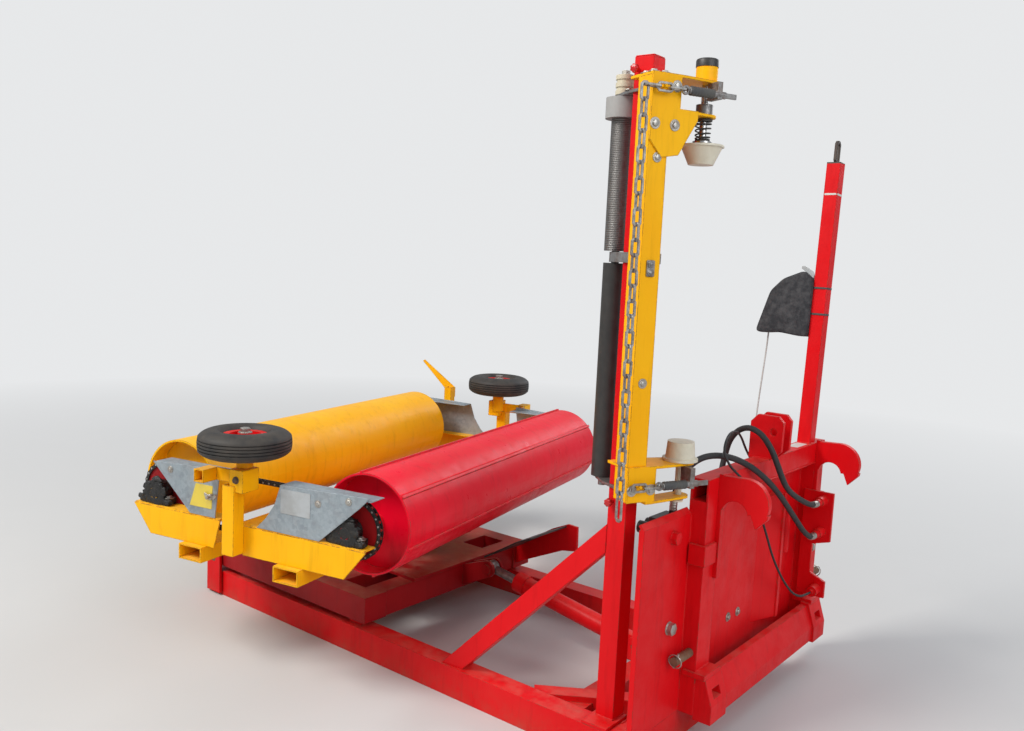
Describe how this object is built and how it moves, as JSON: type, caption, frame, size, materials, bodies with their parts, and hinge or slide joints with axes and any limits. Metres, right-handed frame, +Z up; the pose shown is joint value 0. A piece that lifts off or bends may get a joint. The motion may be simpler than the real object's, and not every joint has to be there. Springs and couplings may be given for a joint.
{
  "type": "round bale wrapper with turntable",
  "caption": "Mounted turntable bale wrapper with two drums, guide wheels, tilting frame, film dispenser on a post and a tractor hitch",
  "frame": {"origin": "middle of the outline on the ground", "axes": "+X towards the hitch, +Y to the side away from the film post, +Z up"},
  "size_m": [2.4664, 2.1192, 2.08],
  "materials": {
    "bare_steel": "worn steel",
    "black_cloth": "coated cloth",
    "black_grease": "greasy",
    "cable_grey": "matt",
    "dark_metal": "painted",
    "hose_rubber": "matt",
    "red_paint": "gloss paint, worn",
    "tyre": "ribbed rubber",
    "white_plastic": "faded",
    "yellow_paint": "gloss paint",
    "zinc": "galvanised"
  },
  "bodies": {
    "root": {"main_frame": "red_paint", "hitch_wall": "red_paint", "lifting_hooks": "red_paint", "link_pins": "bare_steel", "film_post": "red_paint", "film_carrier": "yellow_paint", "film_plates": "yellow_paint", "film_levers": "bare_steel", "roller_plates": "bare_steel", "hang_chain": "zinc", "bag_post": "red_paint", "control_bag": "black_cloth", "control_blocks": "dark_metal", "coupler_rack": "bare_steel", "hose_a": "hose_rubber", "hose_b": "hose_rubber", "plug_cable": "hose_rubber", "bag_cable": "cable_grey"},
    "tilt": {"tilt_frame": "red_paint", "table_pedestal": "black_grease", "table_motor": "black_grease", "table_guard": "red_paint", "guard_sheet": "black_grease"},
    "turntable": {"table_frame": "yellow_paint", "end_panels": "yellow_paint", "chain_covers": "zinc", "wheel_masts": "yellow_paint", "drum_bearings": "black_grease", "drum_chain": "black_grease", "film_catcher": "yellow_paint"},
    "rear_drum": {"rear_drum": "yellow_paint", "rear_sprocket": "red_paint"},
    "front_drum": {"front_drum": "red_paint", "front_sprocket": "red_paint"},
    "near_wheel": {"near_wheel_rim": "red_paint", "near_wheel_tyre": "tyre"},
    "far_wheel": {"far_wheel_rim": "red_paint", "far_wheel_tyre": "tyre"},
    "barrel": {"tilt_barrel": "red_paint"},
    "rod": {"tilt_rod": "bare_steel"},
    "roller_a": {"roller_a": "bare_steel"},
    "roller_b": {"roller_b": "bare_steel"},
    "spindle": {"cone_spindle": "bare_steel"},
    "upper_cone": {"upper_film_cone": "white_plastic"},
    "lower_cone": {"lower_film_cone": "white_plastic"}
  },
  "joints": [
    {"name": "tilt", "type": "hinge", "parent": "root", "child": "tilt", "pos_m": [-1.06277, 0, 0.158], "axis": [0, -1, 0], "range_deg": [0, 32]},
    {"name": "barrel_swing", "type": "hinge", "parent": "root", "child": "barrel", "pos_m": [0.69223, 0.085, 0.124], "axis": [0, 1, 0], "range_deg": [0, 27.58]},
    {"name": "rod_slide", "type": "slide", "parent": "barrel", "child": "rod", "axis": [-0.9874, 0, 0.158], "range_m": [0, 0.41]},
    {"name": "table_turn", "type": "hinge", "parent": "tilt", "child": "turntable", "pos_m": [-0.48777, 0, 0.4], "axis": [0, 0, 1], "continuous": true},
    {"name": "front_drum_turn", "type": "hinge", "parent": "turntable", "child": "front_drum", "pos_m": [-0.07793, 0.08711, 0.6], "axis": [-0.2079, 0.9781, 0], "continuous": true},
    {"name": "rear_drum_turn", "type": "hinge", "parent": "turntable", "child": "rear_drum", "pos_m": [-0.89762, -0.08711, 0.6], "axis": [-0.2079, 0.9781, 0], "continuous": true},
    {"name": "near_wheel_turn", "type": "hinge", "parent": "turntable", "child": "near_wheel", "pos_m": [-0.29546, -0.90479, 0.839], "axis": [0, 0, 1], "continuous": true},
    {"name": "far_wheel_turn", "type": "hinge", "parent": "turntable", "child": "far_wheel", "pos_m": [-0.68009, 0.90479, 0.839], "axis": [0, 0, 1], "continuous": true},
    {"name": "roller_a_turn", "type": "hinge", "parent": "root", "child": "roller_a", "pos_m": [0.7758, -0.36035, 1.4], "axis": [0, 0, 1], "continuous": true},
    {"name": "roller_b_turn", "type": "hinge", "parent": "root", "child": "roller_b", "pos_m": [0.79148, -0.2794, 1.4], "axis": [0, 0, 1], "continuous": true},
    {"name": "cone_lift", "type": "slide", "parent": "root", "child": "spindle", "axis": [0, 0, 1], "range_m": [0, 0.045], "stiffness_N_per_m": 400, "springref_m": -0.06},
    {"name": "upper_cone_turn", "type": "hinge", "parent": "spindle", "child": "upper_cone", "pos_m": [1.00111, -0.28888, 1.81], "axis": [0, 0, 1], "continuous": true},
    {"name": "lower_cone_turn", "type": "hinge", "parent": "root", "child": "lower_cone", "pos_m": [1.00111, -0.28888, 0.95], "axis": [0, 0, 1], "continuous": true}
  ],
  "couplings": [
    {"joint": "barrel_swing", "follows": "tilt", "ratio": 0.84629},
    {"joint": "rod_slide", "follows": "tilt", "m_per_rad": 0.73056},
    {"joint": "rear_drum_turn", "follows": "front_drum_turn", "ratio": 1},
    {"joint": "roller_b_turn", "follows": "roller_a_turn", "ratio": -0.5311}
  ]
}
